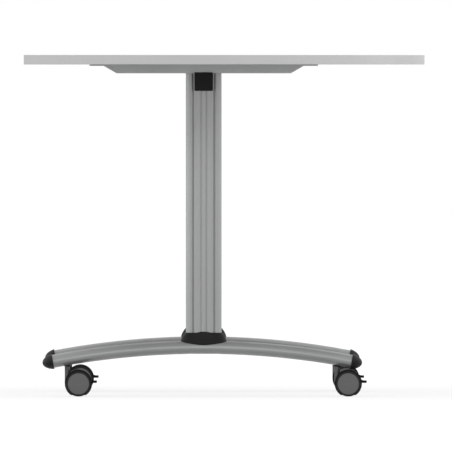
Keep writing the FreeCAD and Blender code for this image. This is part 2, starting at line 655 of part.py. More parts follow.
def saddle(name, side):
    body = new_body(f"saddle_{name}", LEG_X, signed(side, LEG_Y))
    plan = new_sketch(body, f"saddle_plan_{name}", "XY_Plane", SADDLE_TOP)
    inset = "2 * sizes.saddle_inset"
    corner = "(sizes.column_corner - sizes.saddle_inset)"
    rounded_rectangle(plan, f"sizes.column_width - {inset}", f"sizes.column_depth - {inset}", corner)
    pad(body, plan, f"{SADDLE_TOP} - {ARCH_HEIGHT}", downward=True)
    cut_for_tube(body, f"saddle_{name}", "0")
    holes = new_sketch(body, f"saddle_holes_{name}", "XY_Plane", SADDLE_TOP)
    for sign in (1, -1):
        circle(holes, signed(sign, PORT_X), "0", PORT_HOLE)
    pocket(body, holes)
    return body


def boot(name, side):
    body = new_body(f"boot_{name}", LEG_X, signed(side, LEG_Y))
    levels = {"rim": BOOT_TOP, "waist": f"{BOOT_TOP} - sizes.boot_shoulder", "skirt": ARCH_HEIGHT}
    sections = []
    for level, height in levels.items():
        section = new_sketch(body, f"boot_{level}_{name}", "XY_Plane", height)
        half_x = f"({HALF_WIDTH} + sizes.boot_{level}_x)"
        half_y = f"({HALF_DEPTH} + sizes.boot_{level}_y)"
        lens(section, half_x, half_y, f"sizes.boot_{level}_corner", f"sizes.boot_{level}_flat")
        sections.append(section)
    shell = body.newObject("PartDesign::AdditiveLoft", f"boot_shell_{name}")
    shell.Profile = sections[0]
    shell.Sections = sections[1:]
    crest = new_sketch(body, f"boot_crest_{name}", "XZ_Plane")
    crest_half = "(sizes.crest_width / 2)"
    crest_bow = arc_radius("sizes.crest_width", "sizes.crest_height")
    crest_centre = f"({BOOT_TOP} + sizes.crest_height - {crest_bow})"
    outline(crest, [(negative(crest_half), BOOT_TOP), (crest_half, BOOT_TOP)], {1: ("0", crest_centre, True)})
    pad(body, crest, "sizes.column_depth + 2 * (sizes.boot_gap + sizes.crest_wall)", symmetric=True)
    bore = new_sketch(body, f"boot_bore_{name}", "XY_Plane", ARCH_HEIGHT)
    wide, deep = "sizes.column_width + 2 * sizes.boot_gap", "sizes.column_depth + 2 * sizes.boot_gap"
    rounded_rectangle(bore, wide, deep, "(sizes.column_corner + sizes.boot_gap)")
    pocket(body, bore, upward=True)
    cut_for_tube(body, f"boot_{name}", "sizes.boot_gap")
    return body


def foot_tube(name, side):
    body = new_body(f"foot_tube_{name}", LEG_X, signed(side, LEG_Y))
    section = new_sketch(body, f"tube_section_{name}", "YZ_Plane", "-sizes.foot_offset")
    arch_axis(section)
    ellipse(section, ARCH_HEIGHT, "sizes.tube_width / 2", "sizes.tube_height / 2")
    inner_wide = "(sizes.tube_width / 2 - sizes.tube_wall)"
    inner_tall = "(sizes.tube_height / 2 - sizes.tube_wall)"
    ellipse(section, ARCH_HEIGHT, inner_wide, inner_tall)
    revolve(body, section, (section, ["Axis0"]), angle=f"2 * {FOOT_ANGLE}")
    access = new_sketch(body, f"access_holes_{name}", "XY_Plane", ARCH_HEIGHT)
    bolts = new_sketch(body, f"bolt_holes_{name}", "XY_Plane", ARCH_HEIGHT)
    stems = new_sketch(body, f"stem_holes_{name}", "XY_Plane", STEM_ARCH)
    for sign in (1, -1):
        circle(access, signed(sign, PORT_X), "0", "sizes.machine_head + 2 * sizes.access_margin")
        circle(bolts, signed(sign, PORT_X), "0", PORT_HOLE)
        circle(stems, stem_offset(sign), "0", "sizes.bush_diameter")
    pocket(body, access)
    pocket(body, bolts, upward=True)
    pocket(body, stems)
    return body


def end_cap(name, end, side):
    span = "(sizes.foot_span / 2)"
    height = f"{ARCH_CENTRE} + sqrt(sizes.arch_radius^2 - {span}^2)"
    body = new_body(f"end_cap_{name}")
    body.Placement = Placement(Vector(), Rotation(Vector(0, 1, 0), RIGHT_ANGLE))
    body.setExpression("Placement.Base.x", f"{FOOT_X} + {signed(end, span)}")
    body.setExpression("Placement.Base.y", signed(side, LEG_Y))
    body.setExpression("Placement.Base.z", height)
    tilt = FOOT_ANGLE if end > 0 else f"{HALF_TURN} deg - {FOOT_ANGLE}"
    body.setExpression("Placement.Rotation.Angle", tilt)
    nose = body.newObject("PartDesign::AdditiveEllipsoid", f"cap_nose_{name}")
    reach = "(sizes.cap_nose + sizes.cap_bluntness)"
    taper = f"sqrt(1 - (sizes.cap_bluntness / {reach})^2)"
    nose.Placement = Placement(Vector(), Rotation(Vector(0, 1, 0), RIGHT_ANGLE))
    nose.setExpression("Placement.Base.x", negative("sizes.cap_bluntness"))
    bind(
        nose,
        Radius1=reach,
        Radius2=f"(sizes.tube_height / 2 + sizes.cap_margin) / {taper}",
        Radius3=f"(sizes.tube_width / 2 + sizes.cap_margin) / {taper}",
        Angle1=f"asin(sizes.cap_bluntness / {reach})",
    )
    nose.Angle2 = RIGHT_ANGLE
    insert = new_sketch(body, f"cap_insert_{name}", "YZ_Plane")
    shrink = "(sizes.tube_wall + sizes.cap_gap)"
    half_wide, half_tall = f"(sizes.tube_width / 2 - {shrink})", f"(sizes.tube_height / 2 - {shrink})"
    ellipse(insert, "0", half_wide, half_tall)
    ellipse(insert, "0", f"({half_wide} - sizes.tube_wall)", f"({half_tall} - sizes.tube_wall)")
    bush_edge = f"({CASTOR_X} + sizes.bush_diameter / 2)"
    pad(body, insert, f"{span} - {bush_edge} - sizes.cap_bush_gap", downward=True)
    return body


def castor_bush(name, end, side):
    body = new_body(f"castor_bush_{name}", f"{LEG_X} + {stem_offset(end)}", signed(side, LEG_Y))
    section = new_sketch(body, f"bush_section_{name}", "XZ_Plane")
    outer = "sizes.bush_diameter / 2"
    inner = "(sizes.stem_pin / 2 + sizes.running_clearance)"
    end_wall = f"({STEM_TIP} + sizes.stem_shoulder_gap)"
    outline(section, [
        (inner, BUSH_BOTTOM), (outer, BUSH_BOTTOM), (outer, BUSH_TOP),
        ("0", BUSH_TOP), ("0", end_wall), (inner, end_wall),
    ])
    revolve(body, section, (origin_feature(body, "Z_Axis"), [""]))
    return body


def castor_stem(name, x, y):
    body = new_body(f"{name}_stem", x, y)
    section = new_sketch(body, f"{name}_stem_section", "XZ_Plane")
    shank, pin = "sizes.stem_diameter / 2", "sizes.stem_pin / 2"
    shoulder = f"({BUSH_BOTTOM} - sizes.stem_shoulder_gap)"
    outline(section, [
        ("0", WHEEL_RADIUS), (shank, WHEEL_RADIUS), (shank, shoulder),
        (pin, shoulder), (pin, STEM_TIP), ("0", STEM_TIP),
    ])
    revolve(body, section, (origin_feature(body, "Z_Axis"), [""]))
    return body


def castor_housing(name, x, y):
    # web between the wheels with a fender over both of them, drawn from the axle
    body = new_body(f"{name}_housing", x, y, WHEEL_RADIUS)
    radius, rise = HOOD_RADIUS, "sizes.hood_rise"
    cut = f"({WHEEL_RADIUS} - sizes.hood_cut)"
    cut_half = f"sqrt({radius}^2 - {cut}^2)"
    web = new_sketch(body, f"{name}_web", "XZ_Plane")
    outline(web, [
        (cut_half, negative(cut)), (radius, "0"), (radius, rise),
        (negative(radius), rise), (negative(radius), "0"), (negative(cut_half), negative(cut)),
    ], {0: ("0", "0", True), 2: ("0", rise, True), 4: ("0", "0", True)})
    pad(body, web, "sizes.web_thickness", symmetric=True)
    fender = new_sketch(body, f"{name}_fender", "XZ_Plane")
    outline(fender, [
        (radius, "0"), (radius, rise), (negative(radius), rise),
        (negative(radius), "0"), (negative(FENDER_INSIDE), "0"), (FENDER_INSIDE, "0"),
    ], {1: ("0", rise, True), 4: ("0", "0", False)})
    hood = pad(body, fender, FENDER_WIDTH, symmetric=True)

    def rim_edge(edge):
        return near(abs(edge.BoundBox.YMin), f"{FENDER_WIDTH} / 2") and edge.BoundBox.YLength < SAME_PLACE

    round_edges(body, hood, "sizes.fender_edge", rim_edge)
    slot = new_sketch(body, f"{name}_slot", "XZ_Plane")
    rectangle(slot, "sizes.slot_left", PAD_START, "-sizes.slot_low", "sizes.slot_high")
    pocket(body, slot, f"{ARM_THICKNESS} + 2 * sizes.slot_gap", symmetric=True)
    bores = new_sketch(body, f"{name}_bores", "XZ_Plane")
    circle(bores, "0", "0", "sizes.axle_diameter")
    circle(bores, "sizes.pivot_x", "sizes.pivot_z", "sizes.trunnion + 2 * sizes.running_clearance")
    circle(bores, "sizes.shoe_x + sizes.shoe_swing", "sizes.shoe_z + sizes.shoe_swing", "sizes.shoe_window")
    pocket(body, bores, "sizes.web_thickness", symmetric=True)
    socket = new_sketch(body, f"{name}_socket", "XY_Plane")
    circle(socket, "-sizes.trail", "0", "sizes.stem_diameter")
    pocket(body, socket, upward=True)
    return body


def castor_axle(name, x, y):
    body = new_body(f"{name}_axle", x, y, WHEEL_RADIUS)
    section = new_sketch(body, f"{name}_axle_section", "XZ_Plane")
    circle(section, "0", "0", "sizes.axle_diameter")
    pad(body, section, f"2 * {AXLE_END}", symmetric=True)
    return body


def brake_pedal(name, x, y):
    # arm with pivot pins, brake shoe and foot pad in one moulding, drawn from the axle
    body = new_body(f"{name}_pedal", x, y, WHEEL_RADIUS)
    low = "(sizes.pad_height - sizes.pad_thickness / 2)"
    high = "(sizes.pad_height + sizes.pad_thickness / 2)"
    pad_block = new_sketch(body, f"{name}_pad", "XZ_Plane")
    rectangle(pad_block, PAD_START, PAD_TIP, low, high)
    block = pad(body, pad_block, "sizes.pad_width", symmetric=True)

    def tread_edge(edge):
        return edge.BoundBox.XMin > number(f"{PAD_START} + sizes.pad_edge")

    round_edges(body, block, "sizes.pad_edge", tread_edge)
    arm = new_sketch(body, f"{name}_arm", "XZ_Plane")
    stud, boss = "(sizes.shoe_diameter / 2)", "sizes.pivot_boss"
    shoe_left, shoe_right = f"(sizes.shoe_x - {stud})", f"(sizes.shoe_x + {stud})"
    shoe_low, shoe_high = f"(sizes.shoe_z - {stud})", f"(sizes.shoe_z + {stud})"
    boss_left, boss_right = f"(sizes.pivot_x - {boss})", f"(sizes.pivot_x + {boss})"
    boss_low, boss_high = f"(sizes.pivot_z - {boss})", f"(sizes.pivot_z + {boss})"
    root = f"({PAD_START} + sizes.pad_edge)"
    outline(arm, [
        (root, low), (root, high), (boss_right, boss_high), (shoe_right, shoe_high),
        (shoe_left, shoe_high), (shoe_left, shoe_low), (boss_left, boss_low), (boss_right, low),
    ])
    pad(body, arm, ARM_THICKNESS, symmetric=True)
    pins = new_sketch(body, f"{name}_pins", "XZ_Plane")
    circle(pins, "sizes.pivot_x", "sizes.pivot_z", "sizes.trunnion")
    pad(body, pins, "sizes.web_thickness - 2 * sizes.slot_gap", symmetric=True)
    shoe = new_sketch(body, f"{name}_shoe", "XZ_Plane")
    circle(shoe, "sizes.shoe_x", "sizes.shoe_z", "sizes.shoe_diameter")
    pad(body, shoe, "sizes.web_thickness + 2 * (sizes.wheel_gap + sizes.shoe_reach)", symmetric=True)
    return body


def wheel_body(label, x, y, side):
    # turned piece whose own +Y axis is the axle, pointing away from the web
    body = new_body(label, x, y, WHEEL_RADIUS)
    if side < 0:
        body.Placement = Placement(Vector(), Rotation(Vector(0, 0, 1), HALF_TURN))
    return body


def wheel_rim(name, wheel, x, y, side):
    body = wheel_body(f"{name}_{wheel}_rim", x, y, side)
    section = new_sketch(body, f"{name}_{wheel}_rim_section", "XY_Plane")
    bore = "(sizes.axle_diameter / 2 + sizes.running_clearance)"
    hub, recess, rim = "(sizes.rim_hub / 2)", f"({RIM_RADIUS} - sizes.rim_wall)", RIM_RADIUS
    recess_end = f"({WHEEL_INSIDE} + sizes.rim_recess_depth)"
    bore_end = f"({AXLE_END} + sizes.wheel_gap)"
    shoulder = f"({WHEEL_OUTSIDE} - sizes.rim_dome)"
    crown = f"({WHEEL_OUTSIDE} - ({rim}^2 + sizes.rim_dome^2) / (2 * sizes.rim_dome))"
    outline(section, [
        (bore, WHEEL_INSIDE), (hub, WHEEL_INSIDE), (hub, recess_end), (recess, recess_end),
        (recess, WHEEL_INSIDE), (rim, WHEEL_INSIDE), (rim, shoulder),
        ("0", WHEEL_OUTSIDE), ("0", bore_end), (bore, bore_end),
    ], {6: ("0", crown, True)})
    revolve(body, section, (origin_feature(body, "Y_Axis"), [""]))
    return body


def wheel_tyre(name, wheel, x, y, side):
    body = wheel_body(f"{name}_{wheel}_tyre", x, y, side)
    section = new_sketch(body, f"{name}_{wheel}_tyre_section", "XY_Plane")
    rim, round_off = RIM_RADIUS, "sizes.tyre_round"
    shoulder = f"({WHEEL_RADIUS} - {round_off})"
    inside, outside = f"({WHEEL_INSIDE} + {round_off})", f"({WHEEL_OUTSIDE} - {round_off})"
    outline(section, [
        (rim, WHEEL_INSIDE), (shoulder, WHEEL_INSIDE), (WHEEL_RADIUS, inside),
        (WHEEL_RADIUS, outside), (shoulder, WHEEL_OUTSIDE), (rim, WHEEL_OUTSIDE),
    ], {1: (shoulder, inside, True), 3: (shoulder, outside, True)})
    revolve(body, section, (origin_feature(body, "Y_Axis"), [""]))
    return body


def castor(name, end, side):
    stem_x = f"{LEG_X} + {stem_offset(end)}"
    axle_x = f"{stem_x} + sizes.trail"
    y = signed(side, LEG_Y)
    pieces = [
        castor_stem(name, stem_x, y),
        castor_housing(name, axle_x, y),
        castor_axle(name, axle_x, y),
        brake_pedal(name, axle_x, y),
    ]
    for wheel, facing in (("outer", side), ("inner", -side)):
        pieces.append(wheel_rim(name, wheel, axle_x, y, facing))
        pieces.append(wheel_tyre(name, wheel, axle_x, y, facing))
    return pieces


def bracket_screws():
    body = new_body("bracket_screws")
    body.AllowCompound = True
    heads = new_sketch(body, "bracket_screw_heads", "XY_Plane", RIM_UNDER)
    rim_screw_circles(heads, "sizes.screw_head")
    height = f"sizes.screw_land + {SCREW_CONE}"
    blanks = pad(body, heads, height)
    top = f"{RIM_UNDER} + {height}"
    bevel_edges(body, blanks, SCREW_CONE, lambda edge: level_circle(edge, top, "sizes.screw_head"))
    shanks = new_sketch(body, "bracket_screw_shanks", "XY_Plane", RIM_UNDER)
    rim_screw_circles(shanks, "sizes.screw_shank")
    pad(body, shanks, "sizes.bracket_sheet + sizes.screw_bite")
    return body


def port_circles(sketch, diameter):
    for side in SIDES.values():
        for sign in (1, -1):
            circle(sketch, f"{LEG_X} + {signed(sign, PORT_X)}", signed(side, LEG_Y), diameter)


def column_screws():
    # through the pan floor, two into the screw ports of each column and one into the crossbar
    body = new_body("column_screws")
    body.AllowCompound = True
    heads = new_sketch(body, "column_screw_heads", "XY_Plane", PAN_INSIDE)
    shanks = new_sketch(body, "column_screw_shanks", "XY_Plane", PAN_INSIDE)
    bar_shanks = new_sketch(body, "crossbar_screw_shanks", "XY_Plane", PAN_INSIDE)
    port_circles(heads, "sizes.machine_head")
    port_circles(shanks, "sizes.port_bore")
    for side in SIDES.values():
        circle(heads, LEG_X, signed(side, LEG_Y), "sizes.machine_head")
        circle(bar_shanks, LEG_X, signed(side, LEG_Y), "sizes.crossbar_screw")
    pad(body, heads, "sizes.machine_head_height")
    pad(body, shanks, "sizes.bracket_sheet + sizes.port_bite", downward=True)
    pad(body, bar_shanks, "sizes.bracket_sheet + sizes.crossbar_bite", downward=True)
    return body


def foot_bolts():
    # heads inside the foot tubes, shanks up through the saddles into the screw ports
    body = new_body("foot_bolts")
    body.AllowCompound = True
    inner_tall = "(sizes.tube_height / 2 - sizes.tube_wall)"
    inner_wide = "(sizes.tube_width / 2 - sizes.tube_wall)"
    far = f"({PORT_X} + sizes.foot_offset + sizes.machine_head / 2)"
    sag = f"(sizes.arch_radius - sqrt(sizes.arch_radius^2 - {far}^2))"
    bow = f"({inner_tall} * (1 - sqrt(1 - (sizes.machine_head / 2 / {inner_wide})^2)))"
    seat = f"({ARCH_HEIGHT} + {inner_tall} - {sag} - {bow} - sizes.screw_clearance)"
    heads = new_sketch(body, "foot_bolt_heads", "XY_Plane", seat)
    port_circles(heads, "sizes.machine_head")
    pad(body, heads, "sizes.machine_head_height", downward=True)
    shanks = new_sketch(body, "foot_bolt_shanks", "XY_Plane", seat)
    port_circles(shanks, "sizes.port_bore")
    pad(body, shanks, f"{SADDLE_TOP} + sizes.port_bite - {seat}")
    return body


def build():
    pieces = [tabletop_board(), round_edge_band(), straight_edge_band(), crossbar()]
    pieces += [bracket_screws(), column_screws(), foot_bolts()]
    for side_name, side in SIDES.items():
        for make in (top_bracket, column, crossbar_plug, saddle, boot, foot_tube):
            pieces.append(make(side_name, side))
        for end_name, end in ENDS.items():
            name = f"{end_name}_{side_name}"
            pieces.append(end_cap(name, end, side))
            pieces.append(castor_bush(name, end, side))
            pieces += castor(name, end, side)
    return pieces


def check_and_write(pieces):
    doc.recompute()
    faults = [item.Label for item in doc.Objects if "Invalid" in item.State or "Error" in item.State]
    faults += [piece.Label for piece in pieces if piece.Shape.isNull() or not piece.Shape.isValid()]
    if faults:
        raise RuntimeError(f"not built: {faults}")
    os.makedirs("parts", exist_ok=True)
    for piece in pieces:
        piece.Shape.exportStep(f"parts/{piece.Label}.step")
    print(f"{len(pieces)} pieces written")


check_and_write(build())
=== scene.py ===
import math
import bmesh
import bpy
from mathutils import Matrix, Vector


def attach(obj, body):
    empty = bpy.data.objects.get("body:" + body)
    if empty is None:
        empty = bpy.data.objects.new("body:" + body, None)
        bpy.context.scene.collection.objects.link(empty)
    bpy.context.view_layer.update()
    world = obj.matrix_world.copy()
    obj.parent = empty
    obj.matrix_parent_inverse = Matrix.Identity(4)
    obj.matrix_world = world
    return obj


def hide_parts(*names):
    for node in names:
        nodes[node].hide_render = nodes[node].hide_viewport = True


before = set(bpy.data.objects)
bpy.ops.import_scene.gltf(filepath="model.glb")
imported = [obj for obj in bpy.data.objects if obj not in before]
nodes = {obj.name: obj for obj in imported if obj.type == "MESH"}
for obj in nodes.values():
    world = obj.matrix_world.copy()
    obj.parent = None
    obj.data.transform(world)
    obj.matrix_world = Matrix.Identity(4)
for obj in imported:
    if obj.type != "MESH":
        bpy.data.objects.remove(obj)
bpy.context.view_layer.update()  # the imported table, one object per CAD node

print("frame loaded:", len(nodes), "nodes")


# node helpers

def feed(tree, socket, value):  # links a socket, or sets it where the value is plain
    if isinstance(value, bpy.types.NodeSocket):
        tree.links.new(value, socket)
    else:
        socket.default_value = value


def addNode(tree, kind, inputs=None, **settings):
    node = tree.nodes.new("ShaderNode" + kind)
    for key, value in settings.items():
        setattr(node, key, value)
    for key, value in (inputs or {}).items():
        feed(tree, node.inputs[key], value)
    return node


def addMath(tree, operation, first, second):
    return addNode(tree, "Math", {0: first, 1: second}, operation=operation).outputs[0]


def addRange(tree, value, fromRange, toRange=(0.0, 1.0)):
    ends = {"From Min": fromRange[0], "From Max": fromRange[1], "To Min": toRange[0], "To Max": toRange[1]}
    return addNode(tree, "MapRange", {"Value": value, **ends}).outputs["Result"]


def addBlend(tree, factor, first, second):
    blend = addNode(tree, "Mix", {"Factor": factor}, data_type="RGBA")
    colours = [socket for socket in blend.inputs if socket.type == "RGBA"]
    feed(tree, colours[0], first)
    feed(tree, colours[1], second)
    return next(socket for socket in blend.outputs if socket.type == "RGBA")


def addTouch(tree, mask, share, base, touch):  # a share of a second colour where the mask is high
    return addBlend(tree, addMath(tree, "MULTIPLY", mask, share), base, touch)


def addClouds(tree, place, scale, detail, roughness=0.5):
    inputs = {"Vector": place, "Scale": scale, "Detail": detail, "Roughness": roughness}
    return addNode(tree, "TexNoise", inputs).outputs[0]


def addStretch(tree, place, scale):  # squeezes a pattern most along the axis with the highest scale
    return addNode(tree, "Mapping", {"Vector": place, "Scale": scale}).outputs[0]


def grey(level, green=0.0):  # a trace of green for the silver metals
    return (level * (1 - green), level * (1 + green), level, 1.0)


def startGroup(name, inputs, outputs):  # an input of None is a vector, a number is a value
    group = bpy.data.node_groups.new(name, "ShaderNodeTree")
    for label, value in inputs.items():
        kind = "NodeSocketVector" if value is None else "NodeSocketFloat"
        socket = group.interface.new_socket(label, in_out="INPUT", socket_type=kind)
        if value is not None:
            socket.default_value = value
    for label in outputs:
        group.interface.new_socket(label, in_out="OUTPUT", socket_type="NodeSocketFloat")
    source = group.nodes.new("NodeGroupInput").outputs
    sink = group.nodes.new("NodeGroupOutput").inputs
    return group, source, sink


def useGroup(tree, group, inputs):
    return addNode(tree, "Group", inputs, node_tree=group).outputs


# shared effects

grainEffect = {"detail": 2.0, "shade": (0.5, 1.3)}


def makeMouldGrain():  # pebbled skin of a moulding tool
    group, source, sink = startGroup("mouldGrain", {"Vector": None, "Scale": 1.0}, ("Height", "Shade"))
    place, scale = source["Vector"], source["Scale"]
    cells = addNode(group, "TexVoronoi", {"Vector": place, "Scale": scale}, feature="SMOOTH_F1")
    clouds = addClouds(group, place, scale, grainEffect["detail"])
    height = addMath(group, "ADD", cells.outputs["Distance"], clouds)
    feed(group, sink["Height"], height)
    feed(group, sink["Shade"], addRange(group, height, grainEffect["shade"]))
    return group


mottleEffect = {
    "detail": 3.0,
    "mottle": (0.3, 0.7),
    "finer": 7.0,
    "smearDetail": 5.0,
    "smearRoughness": 0.65,
    "smear": (0.45, 0.75),
}


def makeSoftMottle():  # slow drift of tone over a whole piece, with a finer cloud in it
    group, source, sink = startGroup("softMottle", {"Vector": None, "Scale": 1.0}, ("Mottle", "Smear"))
    place, scale = source["Vector"], source["Scale"]
    slow = addClouds(group, place, scale, mottleEffect["detail"])
    finer = addMath(group, "MULTIPLY", scale, mottleEffect["finer"])
    fast = addClouds(group, place, finer, mottleEffect["smearDetail"], mottleEffect["smearRoughness"])
    feed(group, sink["Mottle"], addRange(group, slow, mottleEffect["mottle"]))
    feed(group, sink["Smear"], addRange(group, fast, mottleEffect["smear"]))
    return group


fleckEffect = {"flake": 1600.0, "peel": 260.0, "peelDetail": 1.0}


def makeMetalFleck():  # flakes in a silver coat over a faint orange peel
    inputs = {"Vector": None, "Flake": fleckEffect["flake"], "Peel": fleckEffect["peel"]}
    group, source, sink = startGroup("metalFleck", inputs, ("Fleck", "Height"))
    flakes = addNode(group, "TexVoronoi", {"Vector": source["Vector"], "Scale": source["Flake"]})
    peel = addClouds(group, source["Vector"], source["Peel"], fleckEffect["peelDetail"])
    feed(group, sink["Fleck"], addNode(group, "SeparateColor", {0: flakes.outputs["Color"]}).outputs[0])
    feed(group, sink["Height"], peel)
    return group


lineEffect = {"broadDetail": 2.0, "finer": 5.0, "fineDetail": 3.0, "lines": (0.7, 1.3)}


def makeDrawnLines():  # streaks of a drawn, extruded or turned surface, on stretched coordinates
    group, source, sink = startGroup("drawnLines", {"Vector": None, "Scale": 1.0}, ("Lines", "Height"))
    place, scale = source["Vector"], source["Scale"]
    broad = addClouds(group, place, scale, lineEffect["broadDetail"])
    finer = addMath(group, "MULTIPLY", scale, lineEffect["finer"])
    fine = addClouds(group, place, finer, lineEffect["fineDetail"])
    feed(group, sink["Lines"], addRange(group, addMath(group, "ADD", broad, fine), lineEffect["lines"]))
    feed(group, sink["Height"], fine)
    return group


mouldGrain = makeMouldGrain()
softMottle = makeSoftMottle()
metalFleck = makeMetalFleck()
drawnLines = makeDrawnLines()
print("shared effects ready")


# finishes: tones are grey levels, and a share is how far a second tone shows

def startMaterial(name, sockets):
    material = bpy.data.materials.new(name)
    material.use_nodes = True
    tree = material.node_tree
    shader = tree.nodes["Principled BSDF"]
    for label, value in sockets.items():
        feed(tree, shader.inputs[label], value)
    place = addNode(tree, "TexCoord").outputs["Object"]
    return material, tree, shader, place


def endMaterial(tree, shader, colour, wear, rough, height, relief):  # wear moves roughness over its range
    strength, distance = relief  # of the bump
    bump = addNode(tree, "Bump", {"Height": height, "Strength": strength, "Distance": distance})
    feed(tree, shader.inputs["Base Color"], colour)
    feed(tree, shader.inputs["Roughness"], addRange(tree, wear, (0.0, 1.0), rough))
    feed(tree, shader.inputs["Normal"], bump.outputs[0])


laminate = {
    "tone": 0.50,
    "darker": 0.47,
    "speck": 0.36,
    "speckShare": 0.08,
    "gloss": 0.2,
    "rough": (0.62, 0.72),
    "mottle": 3.0,
    "pebble": 420.0,
    "relief": (0.25, 0.0003),
}


def makeLaminate():  # matt pebbled face of the board
    material, tree, shader, place = startMaterial("greyLaminate", {"Specular IOR Level": laminate["gloss"]})
    tone = useGroup(tree, softMottle, {"Vector": place, "Scale": laminate["mottle"]})
    grain = useGroup(tree, mouldGrain, {"Vector": place, "Scale": laminate["pebble"]})
    base = addBlend(tree, tone["Mottle"], grey(laminate["darker"]), grey(laminate["tone"]))
    colour = addTouch(tree, grain["Shade"], laminate["speckShare"], base, grey(laminate["speck"]))
    endMaterial(tree, shader, colour, tone["Smear"], laminate["rough"], grain["Height"], laminate["relief"])
    return material


band = {
    "tone": 0.445,
    "darker": 0.415,
    "gloss": 0.45,
    "rough": (0.36, 0.48),
    "mottle": 5.0,
    "lines": (4.0, 4.0, 500.0),
    "relief": (0.12, 0.0002),
}


def makeBand():  # extruded edging, its lines run along the edge
    material, tree, shader, place = startMaterial("edgeBanding", {"Specular IOR Level": band["gloss"]})
    lines = useGroup(tree, drawnLines, {"Vector": addStretch(tree, place, band["lines"])})
    tone = useGroup(tree, softMottle, {"Vector": place, "Scale": band["mottle"]})
    streaks = addMath(tree, "MULTIPLY", lines["Lines"], tone["Mottle"])
    colour = addBlend(tree, streaks, grey(band["tone"]), grey(band["darker"]))
    endMaterial(tree, shader, colour, tone["Smear"], band["rough"], lines["Height"], band["relief"])
    return material


silverTint = 0.014
silverTones = {"bracketCoat": (0.37, 0.40), "footCoat": (0.255, 0.275)}
silver = {
    "sparkle": 0.62,
    "sparkleShare": 0.05,
    "metal": 0.30,
    "gloss": 0.35,
    "rough": (0.36, 0.46),
    "mottle": 8.0,
    "relief": (0.10, 0.0002),
}


def makeSilverCoat(name):
    darker, lighter = (grey(level, silverTint) for level in silverTones[name])
    sockets = {"Metallic": silver["metal"], "Specular IOR Level": silver["gloss"]}
    material, tree, shader, place = startMaterial(name, sockets)
    fleck = useGroup(tree, metalFleck, {"Vector": place})
    tone = useGroup(tree, softMottle, {"Vector": place, "Scale": silver["mottle"]})
    base = addBlend(tree, tone["Mottle"], darker, lighter)
    sparkle = grey(silver["sparkle"], silverTint)
    colour = addTouch(tree, fleck["Fleck"], silver["sparkleShare"], base, sparkle)
    endMaterial(tree, shader, colour, tone["Smear"], silver["rough"], fleck["Height"], silver["relief"])
    return material


anodised = {
    "tone": 0.26,
    "darker": 0.237,
    "smear": 0.24,
    "smearShare": 0.10,
    "metal": 0.55,
    "rough": (0.30, 0.40),
    "mottle": 7.0,
    "lines": (900.0, 900.0, 2.0),
    "relief": (0.10, 0.0001),
}


def makeAnodised():  # matt silver extrusion, its die lines run up the column
    material, tree, shader, place = startMaterial("anodisedColumn", {"Metallic": anodised["metal"]})
    lines = useGroup(tree, drawnLines, {"Vector": addStretch(tree, place, anodised["lines"])})
    tone = useGroup(tree, softMottle, {"Vector": place, "Scale": anodised["mottle"]})
    darker, lighter, smear = (grey(anodised[key], silverTint) for key in ("darker", "tone", "smear"))
    base = addBlend(tree, lines["Lines"], darker, lighter)
    colour = addTouch(tree, tone["Smear"], anodised["smearShare"], base, smear)
    endMaterial(tree, shader, colour, tone["Mottle"], anodised["rough"], lines["Height"], anodised["relief"])
    return material


zincTones = {
    "darkZinc": {"tone": 0.074, "darker": 0.057, "smear": 0.13, "rough": (0.34, 0.48)},
    "brightZinc": {"tone": 0.46, "darker": 0.38, "smear": 0.58, "rough": (0.26, 0.40)},
}
zinc = {
    "smearShare": 0.25,
    "metal": 0.7,
    "mottle": 40.0,
    "lines": (60.0, 60.0, 1800.0),
    "relief": (0.15, 0.0001),
}


def makeZinc(name):  # turned steel with a zinc coat, its lines run round the shaft
    tones = zincTones[name]
    material, tree, shader, place = startMaterial(name, {"Metallic": zinc["metal"]})
    lines = useGroup(tree, drawnLines, {"Vector": addStretch(tree, place, zinc["lines"])})
    tone = useGroup(tree, softMottle, {"Vector": place, "Scale": zinc["mottle"]})
    base = addBlend(tree, lines["Lines"], grey(tones["darker"]), grey(tones["tone"]))
    colour = addTouch(tree, tone["Smear"], zinc["smearShare"], base, grey(tones["smear"]))
    endMaterial(tree, shader, colour, tone["Mottle"], tones["rough"], lines["Height"], zinc["relief"])
    return material


plasticTones = {  # base, lighter clouds, rubbed places
    "blackMoulding": (0.012, 0.0152, 0.033),
    "pedalMoulding": (0.006, 0.008, 0.018),
    "greyHub": (0.117, 0.127, 0.160),
    "tyreRubber": (0.0175, 0.022, 0.048),
}
plasticSkins = {
    "blackMoulding": {"rough": (0.46, 0.60), "pebble": 1100.0, "depth": 0.25},
    "pedalMoulding": {"rough": (0.40, 0.52), "pebble": 1400.0, "depth": 0.18},
    "greyHub": {"rough": (0.42, 0.54), "pebble": 1300.0, "depth": 0.20},
    "tyreRubber": {"rough": (0.62, 0.80), "pebble": 700.0, "depth": 0.30},
}
plastic = {"rubbedShare": 0.12, "gloss": 0.07, "mottle": 20.0, "pebbleHeight": 0.0002}


def makePlastic(name):
    skin = plasticSkins[name]
    base, lighter, rubbed = (grey(level) for level in plasticTones[name])
    material, tree, shader, place = startMaterial(name, {"Specular IOR Level": plastic["gloss"]})
    grain = useGroup(tree, mouldGrain, {"Vector": place, "Scale": skin["pebble"]})
    tone = useGroup(tree, softMottle, {"Vector": place, "Scale": plastic["mottle"]})
    clouded = addBlend(tree, tone["Mottle"], base, lighter)
    colour = addTouch(tree, tone["Smear"], plastic["rubbedShare"], clouded, rubbed)
    relief = (skin["depth"], plastic["pebbleHeight"])
    endMaterial(tree, shader, colour, tone["Smear"], skin["rough"], grain["Height"], relief)
    return material


castMetal = {
    "tone": 0.42,
    "darker": 0.30,
    "metal": 0.9,
    "rough": (0.45, 0.65),
    "pebble": 500.0,
    "relief": (0.4, 0.0005),
}


